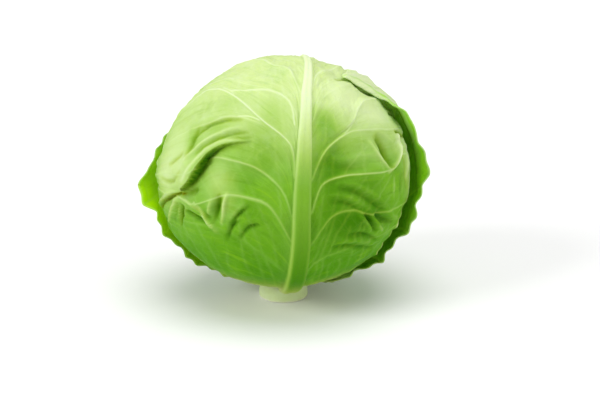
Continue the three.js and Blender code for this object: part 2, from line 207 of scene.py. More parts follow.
# points of the sheet for rows between the veins and shares of the way to the margin, on one side
def sheetSide(lines, orders, shares):
    last = len(lines) - 1
    curves = np.stack([alongLine(line, shares) for line in lines])
    fine = np.linspace(0, 1, 60)
    steps = np.diff([alongLine(line, fine) for line in lines], axis=1)
    lengths = np.linalg.norm(steps, axis=2).sum(1)
    k = np.minimum(orders.astype(int), last - 1)
    f = orders - k
    here, there = curves[k], curves[k + 1]
    point = here + (there - here) * f[:, None, None]
    # the margin is rounded from one vein's end to the next
    ends = np.array([line[-1] for line in lines], float)
    straight = ends[k] + (ends[k + 1] - ends[k]) * f[:, None]
    rounded = alongLine(ends, orders / last)
    point = point + (rounded - straight)[:, None, :] * (shares**3)[None, :, None]
    toMargin = (1 - shares)[None, :] * (lengths[k] + (lengths[k + 1] - lengths[k]) * f)[:, None]
    return {
        "x": point[..., 0],
        "y": point[..., 1],
        "spacing": np.linalg.norm(there - here, axis=-1),
        "toMargin": toMargin,
        "f": np.repeat(f[:, None], len(shares), 1),
        "order": np.repeat(orders[:, None], len(shares), 1),
        "t": np.repeat(shares[None, :], len(orders), 0),
    }


# fine veins that cross from one side vein towards the next; their places are shares of a side vein's way
crossing = {
    "first": 0.1, "last": 0.96,
    "shift": 0.03,  # how far each may stray from an even spacing
    "lean": (0.05, 0.16),  # how much farther out it ends
    "bend": 0.04,
    "reaches": [1.0, 1.0, 0.6],  # two of three reach the next side vein
    "strength": (0.45, 0.9),
}


def crossVeins(leaf, lines, seed):
    rng = np.random.default_rng(seed)
    veins = []
    for here, there in zip(lines[:-1], lines[1:]):
        for even in np.arange(crossing["first"], crossing["last"], leaf["crossVeins"]["spacing"]):
            t = even + rng.uniform(-crossing["shift"], crossing["shift"])
            lean = rng.uniform(*crossing["lean"])
            bend = rng.uniform(-crossing["bend"], crossing["bend"])
            reach = rng.choice(crossing["reaches"])
            shares = np.clip([t, t + lean * 0.45 + bend, t + lean * reach], 0.02, 0.99)
            a, b = alongLine(here, shares), alongLine(there, shares)
            line = a + (b - a) * np.array([[0], [0.5 * reach], [reach]])
            veins.append((line, rng.uniform(*crossing["strength"])))
    return veins


# smooth noise on points of the sheet
def ripple(points, scale, seed):
    return np.array([noise.noise(Vector((x / scale[0], y / scale[1], seed))) for x, y in points])


# what the blades have in common, in mm and shares
relief = {
    "leanOver": (-15, 40),  # where a lean comes in across the leaf
    "tuckOver": (0, 40),
    "pillowGap": 26,  # veins this far apart have the whole sag between them
    "streakGap": 22,  # and these the whole streaks
    "frillReach": 16,  # from the margin inwards
    "rowGap": 24,  # from one side vein to the next on the streaks' map
    "rowLength": 95,  # from the midrib to the margin on it
    "sidesApart": 500,  # so that the two sides differ
    "crossReach": 4,  # round a cross vein, past which it isn't looked for
    "rimWidth": 1.5,
    "creaseShare": 0.75,  # a crease's painted shade or highlight is narrower than its relief
    "creaseLeast": 1.2,
    "underFold": 0.9,  # how much of a vein a fold's shade hides
}


# height of the blade over the ball: pillows between the veins, lean, flared and frilled margins
def bladeHeight(leaf, cell, side):
    x, y = cell["x"], cell["y"]

    def sided(key):
        return np.where(side < 0, stepsAt(leaf[key][0], y), stepsAt(leaf[key][1], y))

    def fromMargin(reach, power):
        return np.clip(1 - cell["toMargin"] / reach, 0, 1) ** power

    height = np.full(x.shape, float(leaf["lift"]))
    height -= leaf["lean"] * smoothStep(x * leaf["leanSide"], *relief["leanOver"])
    if "tuck" in leaf:
        height -= stepsAt(leaf["tuck"], y) * smoothStep(x * leaf["leanSide"], *relief["tuckOver"])
    onBlade = np.abs(cell["across"]) >= 1
    # the sag is deepest between two veins, halfway to the margin, and skew moves it towards one of them
    dip = np.sin(np.pi * cell["f"] ** leaf["skew"]) * np.sin(np.pi * np.clip(0.12 + cell["t"] * 0.8, 0, 1))
    height -= leaf["sag"] * np.minimum(1, cell["spacing"] / relief["pillowGap"]) * dip * onBlade
    height += sided("flare") * fromMargin(leaf["flareReach"], 2)
    if "curl" in leaf:
        height -= sided("curl") * fromMargin(leaf["curlReach"], 2.5)
    # the frill is one slow wave with a quicker one on it
    wave = np.sin(cell["order"] * leaf["frillTurns"] + leaf["azimuth"] * 0.7 + side)
    wave += leaf["frillFine"] * np.sin(cell["order"] * leaf["frillTurns"] * 2.7 + 1.3 * side + 0.5)
    height += sided("frill") * fromMargin(relief["frillReach"], 1.5) * wave
    for line, high, wide, _ in leaf.get("creases", []):
        d, along, _ = nearestOnLine("crease", line, x, y)
        height += high * bump(d, wide) * np.sin(np.pi * along) ** 0.6
    for (dx, dy), high, wide in leaf.get("swells", []):
        height += high * bump(np.hypot(x - dx, y - dy), wide)
    # crinkles of the skin in every direction, and streaks drawn out along the side veins
    nearRib = smoothStep(np.abs(cell["across"]), 1.0, 1.12)
    for scale, amount in leaf["crinkles"]:
        height += amount * nearRib * ripple(np.stack([x, y], 1), (scale, scale), leaf["seed"] + scale)
    rows = cell["order"] * relief["rowGap"] + side * relief["sidesApart"]
    rows = np.stack([rows, cell["t"] * relief["rowLength"]], 1)
    roomy = np.clip(cell["spacing"] / relief["streakGap"], 0, 1) ** 2
    for across, along, amount in leaf["streaks"]:
        height += amount * nearRib * roomy * ripple(rows, (across, along), leaf["seed"] + across)
    return height


# a fold: on one side of its line the blade rises in a round roll that hangs over the trough on the other
def foldedLip(fold, x, y):
    d, along, side = nearestOnLine("fold", fold["line"], x, y)
    signed = d * side * fold["lapSide"]
    beyond = np.maximum(0, -signed)  # how far out on the trough's side
    tall = np.interp(along, np.linspace(0, 1, len(fold["height"])), fold["height"])
    deep = np.interp(along, np.linspace(0, 1, len(fold["trough"])), fold["trough"])
    inRoll = np.clip(signed / fold["roll"], 0, 1)
    past = np.maximum(0, signed - fold["roll"])
    sharp, broad = np.exp(-past / fold["lipReach"]), np.exp(-past / fold["reach"])
    roll = np.sqrt(1 - (1 - inRoll) ** 2) * (fold["lipShare"] * sharp + (1 - fold["lipShare"]) * broad)
    trough = np.exp(-((beyond / fold["troughReach"]) ** 1.4)) * (1 - inRoll)
    nearEnds = np.clip(d / fold["endReach"], 0, 1) * ((along > 0.999) | (along < 0.001))
    rise = (tall * roll - deep * trough) * (1 - nearEnds)
    # the lip is pushed across the line's own direction, out over the trough
    ahead, behind = np.minimum(along + 0.02, 1), np.maximum(along - 0.02, 0)
    run = unit(alongLine(fold["line"], ahead) - alongLine(fold["line"], behind))
    push = fold["push"] * tall / max(fold["height"]) * smoothStep(signed, *fold["pushRise"])
    push = push * bump(np.maximum(signed - 1, 0), fold["pushReach"])
    # painted shade: the wall under the lip and the floor beside it are coloured deep green for the shadow
    # that the lip casts
    shade = np.exp(-((beyond / fold["shadeReach"]) ** 1.5)) * (1 - smoothStep(signed, *fold["shadeEdge"]))
    shade *= (1 - nearEnds) * np.sqrt(np.clip(deep / max(fold["trough"]), 0, 1))
    return rise, push * run[:, 1] * fold["lapSide"], -push * run[:, 0] * fold["lapSide"], shade


# how strongly veins mark each point, and how far they stand up
def veinRelief(leaf, cell, side, lines):
    x, y = cell["x"], cell["y"]
    mark, raised = np.zeros(x.shape), np.zeros(x.shape)

    def draw(kind, where, line, paint, wide, high, foot, taper=0, start=0):
        d, along, _ = nearestOnLine(kind, line, x[where], y[where])
        root = 0.35 + 0.65 * smoothStep(along, 0.0, 0.3) if taper else 1  # faint where it leaves the midrib
        if start:
            root = smoothStep(along, start - 0.1, start + 0.06)
            high = high * root
        mark[where] = np.maximum(mark[where], paint * root * bump(d, wide * (1.3 - 0.7 * along * taper)))
        raised[where] = np.maximum(raised[where], high * (1 - along * taper) ** 0.6 * bump(d, foot))

    for sideNow, half in lines.items():
        mine = side == sideNow
        which = 0 if sideNow < 0 else 1
        for k in range(1, len(half) - 1):
            strength = leaf["strength"][k] if isinstance(leaf["strength"], list) else leaf["strength"]
            paint = leaf["paint"][which][k] if "paint" in leaf else strength
            start = leaf["starts"][which].get(k, 0) if "starts" in leaf else 0
            high = leaf["veinHeight"] * strength
            draw("sideVein", mine, half[k], paint, leaf["veinWidth"], high, leaf["veinFoot"], 1, start)
        look = leaf["crossVeins"]
        for line, strength in crossVeins(leaf, half, leaf["seed"] + sideNow):
            low, high = line.min(0) - relief["crossReach"], line.max(0) + relief["crossReach"]
            near = mine & (x > low[0]) & (x < high[0]) & (y > low[1]) & (y < high[1])
            if near.any():
                paint, tall, wide = strength * look["paint"], strength * look["height"], look["width"]
                draw("crossVein", near, line, paint, wide, tall, wide * 1.3)
    everywhere = np.ones(x.shape, bool)
    for line, strength in leaf.get("extraVeins", []):
        tall = leaf["veinHeight"] * strength * 0.8
        draw("extraVein", everywhere, line, strength, leaf["veinWidth"] * 0.85, tall, leaf["veinFoot"])
    return mark, raised


# the sheet's points from base to tip: a few columns lie over the midrib and the sides share the rest
def layOut(leaf, lines):
    columns, rows = leaf["grid"]
    density = leaf.get("density", [1] * (len(lines[1]) - 1))
    rowsUpTo = np.concatenate([[0], np.cumsum(density)]) / sum(density)
    orders = np.interp(np.linspace(0, 1, rows + 1), rowsUpTo, np.arange(len(density) + 1))
    orders = np.minimum(orders, len(density) - tiny)
    shares = np.linspace(0, 1, (columns - leaf["ribColumns"]) // 2 + 1)
    left, right = sheetSide(lines[-1], orders, shares), sheetSide(lines[1], orders, shares)
    grid = {}
    for key in left:
        rib = np.linspace(left[key][:, 0], right[key][:, 0], leaf["ribColumns"] + 1, axis=1)[:, 1:-1]
        grid[key] = np.concatenate([left[key][:, ::-1], rib, right[key]], 1)
    ribPlace = np.linspace(-1, 1, leaf["ribColumns"] + 1)[1:-1]
    across = np.concatenate([-1 - shares[::-1], ribPlace, 1 + shares])
    grid["across"] = np.repeat(across[None, :], rows + 1, 0)
    grid["t"] = np.where(np.abs(grid["across"]) < 1, 0, grid["t"])
    cell = {key: value.ravel() for key, value in grid.items()}
    # the margin's small waves in the leaf's own plane
    for depth, turns, phase in leaf["waves"]:
        uneven = 1.3 * np.sin(cell["order"] * turns * 0.43 + phase)
        scallop = np.abs(np.sin(cell["order"] * turns + phase + uneven)) ** 0.8 - 0.6
        out = depth * scallop * cell["t"] ** 7
        far = np.hypot(cell["x"], cell["y"]) + tiny
        cell["x"], cell["y"] = cell["x"] * (1 + out / far), cell["y"] * (1 + out / far)
    return cell


# marks that the leaf's skin is coloured by
def skinMarks(leaf, cell, vein, ribBody, shade):
    x, y = cell["x"], cell["y"]
    pale, dry = np.zeros(x.shape), np.zeros(x.shape)
    # patches are painted light above 0 and painted shade below 0
    for (px, py), amount, wide in leaf.get("patches", []):
        pale += amount * bump(np.hypot((x - px) / wide[0], (y - py) / wide[1]), 1)
    vein = vein * (1 - relief["underFold"] * shade)
    # creases below 0 paint shade into their hollow, and those above 0 paint a highlight on their ridge
    for line, _, wide, tint in leaf.get("creases", []):
        d, along, _ = nearestOnLine("crease", line, x, y)
        colourWidth = max(wide * relief["creaseShare"], relief["creaseLeast"])
        band = abs(tint) * bump(d, colourWidth) * np.sin(np.pi * (0.12 + 0.76 * along))
        if tint > 0:
            pale += band
        else:
            shade = np.maximum(shade, band)
    # a painted highlight along each edge of the midrib, strongest on its lit left edge
    for edge, amount, wide in leaf["rib"].get("edges", []):
        vein = np.maximum(vein, amount * bump(cell["across"] - edge, wide))
    for line, amount, wide in leaf.get("dryEdges", []):
        dry = np.maximum(dry, amount * bump(nearestOnLine("crease", line, x, y)[0], wide))
    return {
        "vein": vein,
        "rib": smoothStep(ribBody, 0.0, 0.55),
        # the pale rim is partly the thin margin's own paler green and partly a painted highlight where light
        # catches the edge
        "rim": bump(cell["toMargin"], relief["rimWidth"]),
        "stemEnd": np.clip(1 - ribShare(leaf, cell["y"]) * 3.2, 0, 1),
        "pale": pale,
        "dry": dry,
        "shade": shade,
    }


# a wall inwards from the outer face: a thin blade with a thick rib
def thicken(blade, leaf, rib):
    weights = blade.vertex_groups.new(name="thickness")
    share = np.round(np.clip((leaf["thickness"] + rib * 0.9) / leaf["mostThickness"], 0.02, 1), 2)
    for level in np.unique(share):
        weights.add(np.nonzero(share == level)[0].tolist(), float(level), "REPLACE")
    wall = blade.modifiers.new("wall", "SOLIDIFY")
    wall.thickness = leaf["mostThickness"] * mm
    wall.offset = -1
    wall.vertex_group = "thickness"
    wall.use_even_offset = False
    bpy.ops.object.modifier_apply(modifier="wall")


def makeBlade(name, leaf):
    columns, rows = leaf["grid"]
    bpy.ops.object.select_all(action="DESELECT")
    bpy.ops.mesh.primitive_grid_add(x_subdivisions=columns, y_subdivisions=rows, size=2)
    blade = bpy.context.object
    blade.name = blade.data.name = name
    flat = np.empty(len(blade.data.vertices) * 3)
    blade.data.vertices.foreach_get("co", flat)
    flat = flat.reshape(-1, 3)
    column = np.round((flat[:, 0] + 1) / 2 * columns).astype(int)
    row = np.round((flat[:, 1] + 1) / 2 * rows).astype(int)
    at = row * (columns + 1) + column  # the sheet's point that each of the grid's points takes
    lines = {sideNow: guideLines(leaf, sideNow) for sideNow in (-1, 1)}
    cell = layOut(leaf, lines)
    x, y = cell["x"], cell["y"]
    side = np.where(cell["across"] < 0, -1, 1)
    height = bladeHeight(leaf, cell, side)
    shiftX, shiftY, shade = np.zeros((3, len(x)))
    if "fold" in leaf:
        rise, shiftX, shiftY, shade = foldedLip(leaf["fold"], x, y)
        height = height + rise
    vein, raised = veinRelief(leaf, cell, side, lines)
    # the midrib has a round back that falls to the blade on both sides
    ribBody = np.sqrt(1 - np.clip(np.abs(cell["across"]), 0, 1) ** 2)
    groove = leaf["rib"].get("groove", 0) * bump(cell["across"] - 0.1, 0.4)
    rib = ribSize(leaf, "height", y) * ribBody * (1 - groove)
    raised = raised * (1 - 0.8 * ribBody)
    direction = wrapRound(leaf, x + shiftX, y + shiftY)
    place = direction * (ballRadius(direction) + height + raised + rib)[:, None]
    place[:, 2] += ball["centreHeight"]
    blade.data.vertices.foreach_set("co", (place[at] * mm).ravel())
    for key, value in skinMarks(leaf, cell, vein, ribBody, shade).items():
        layer = blade.data.attributes.new(key, "FLOAT", "POINT")
        layer.data.foreach_set("value", value[at].astype(np.float32))
    # one map is the flat sheet, and a second runs along the side veins
    corner = np.empty(len(blade.data.loops), int)
    blade.data.loops.foreach_get("vertex_index", corner)
    sheet = blade.data.uv_layers.active
    sheet.name = "sheet"
    sheet.data.foreach_set("uv", (np.stack([x[at], y[at]], 1)[corner] / sheetSpan + 0.5).ravel())
    veinwise = blade.data.uv_layers.new(name="veinwise")
    rightSide = (side > 0) * relief["sidesApart"] * 4
    run = np.stack([cell["order"] * relief["rowGap"] + rightSide, cell["t"] * relief["rowLength"]], 1)
    veinwise.data.foreach_set("uv", (run[at][corner] / sheetSpan).ravel())
    blade.data.update()
    if outwardShare(blade) < 0:
        bpy.ops.object.mode_set(mode="EDIT")
        bpy.ops.mesh.select_all(action="SELECT")
        bpy.ops.mesh.flip_normals()
        bpy.ops.object.mode_set(mode="OBJECT")
    thicken(blade, leaf, rib[at])
    bpy.ops.object.shade_smooth()
    # the wall's outer face keeps the first points; on a loose leaf the painted shade is kept on the inner
    # face only
    if leaf.get("shadeInside"):
        layer = blade.data.attributes["shade"]
        paintedShadeValues = np.empty(len(layer.data), np.float32)
        layer.data.foreach_get("value", paintedShadeValues)
        paintedShadeValues[:len(at)] = 0
        layer.data.foreach_set("value", paintedShadeValues)
    print(name, len(blade.data.polygons) * 2, "triangles")
    return blade


# above 0 where most faces look away from the ball's centre
def outwardShare(piece):
    centre = Vector((0, 0, ball["centreHeight"] * mm))
    step = max(1, len(piece.data.polygons) // 400)
    return sum((p.normal.dot(p.center - centre) > 0) - 0.5 for p in list(piece.data.polygons)[::step])


# The leaves, from the outside inwards. Places are in mm on a leaf's flat sheet, with y up the midrib. A tuck,
# flare, frill or curl is a list of y and value, and where there are two lists the first is for the left side.
outerLeaf = {
    "veinPairs": 7, "strength": 1.0, "veinHeight": 1.0, "veinWidth": 1.1, "veinFoot": 2.4, "skew": 1.25,
    "crossVeins": {"spacing": 0.12, "width": 0.9, "paint": 0.45, "height": 0.35},
    "crinkles": [(26, 0.9), (9, 0.45), (4, 0.16)], "streaks": [(7, 26, 0.5)],
    "ribColumns": 10, "thickness": 0.9, "mostThickness": 5.0,
}

outerLeafLeft = {
    **outerLeaf,
    "azimuth": -145, "elevation": 10, "lift": 7.8, "lean": 3.8, "leanSide": 1, "base": -129, "tip": 50,
    "midrib": [[0, -129], [3, -60], [0, -10], [6, 50]],
    "margin": [
        [[0, -129], [-34, -124], [-66, -86], [-84, -38], [-86, 0], [-76, 30], [-50, 48], [-22, 56], [6, 50]],
        [[0, -129], [38, -124], [72, -94], [90, -62], [93, -40], [93, -25], [86, -11], [71, -1], [55, 9],
         [42, 21], [33, 33], [22, 43], [6, 50]],
    ],
    "tuck": [[-18, 0], [-2, 2.6], [20, 3.2], [40, 2.2]],
    # a painted glow of light coming through the thin lobe
    "patches": [((92, -30), 1.0, (16, 30))],
    "sag": 1.0, "rib": {"halfWidth": [9, 2], "height": [4.2, 0.8]},
    "flare": [
        [[-130, 0], [0, 0.6], [80, 0]],
        [[-120, 0], [-85, 1.5], [-50, 2], [-37, 3], [-27, 8.5], [-14, 9], [-4, 5.5], [6, 2], [26, 0.3],
         [70, 0]],
    ],
    "flareReach": 34, "frill": [[[0, 0.4]], [[0, 1.2]]], "frillTurns": 4.6, "frillFine": 0.6,
    "waves": [(1.3, 2.3, 0.4), (0.8, 5.1, 0.9)],
    "grid": (150, 150), "seed": 11,
}

outerLeafRight = {
    **outerLeaf,
    "azimuth": 140, "elevation": 12, "lift": 4.2, "lean": -2.4, "leanSide": -1, "base": -132, "tip": 54,
    "midrib": [[0, -132], [-4, -60], [0, 0], [-4, 54]],
    "margin": [
        [[0, -132], [-38, -126], [-72, -96], [-92, -58], [-99, -32], [-96, -12], [-92, 6], [-85, 20],
         [-84, 36], [-75, 52], [-66, 66], [-60, 80], [-60, 103], [-50, 92], [-42, 78], [-32, 66], [-19, 57],
         [-4, 54]],
        [[0, -132], [32, -127], [60, -96], [78, -60], [86, -18], [82, 16], [64, 40], [36, 52], [-4, 54]],
    ],
    "tuck": [[36, 0], [50, 1.5], [64, 3.5], [80, 4.0]],
    "shadeInside": True,
    # painted light on the inner face where it lies in shadow
    "patches": [((-90, -22), 0.9, (14, 26)), ((-78, 40), 0.7, (9, 16))],
    # painted shade in a deep channel under the front leaf's margin, with a painted highlight on the rim
    # outside it
    "creases": [
        ([[-83, -24], [-80, -12], [-77, 6], [-72, 20], [-71, 34], [-63, 45], [-54, 55], [-50, 64]],
         -1.2, 4.0, -0.9),
        ([[-96, -34], [-93, -12], [-89, 6], [-82, 20], [-81, 36], [-72, 51], [-64, 63], [-58, 78], [-58, 98]],
         0.6, 2.6, 0.9),
    ],
    "sag": 1.2, "rib": {"halfWidth": [9, 2], "height": [4.4, 0.8]},
    "flare": [
        [[-125, 0], [-90, 0], [-62, 1.5], [-40, 3], [-21, 4.5], [-4, 6], [7, 7], [18, 5], [40, 4.5], [52, 1],
         [60, 0]],
        [[-125, 0], [0, 0.3], [80, 0]],
    ],
    "flareReach": 26, "frill": [[[-60, 1.6], [10, 2.0], [24, 0.4]], [[0, 0.1]]],
    "frillTurns": 5.2, "frillFine": 0.7, "waves": [(1.4, 2.6, 0.2), (0.8, 5.7, 0.5)],
    "curl": [[[48, 0], [58, 1.4], [80, 1.2], [99, 0.6]], [[0, 0]]], "curlReach": 5,
    "grid": (170, 170), "seed": 23,
}

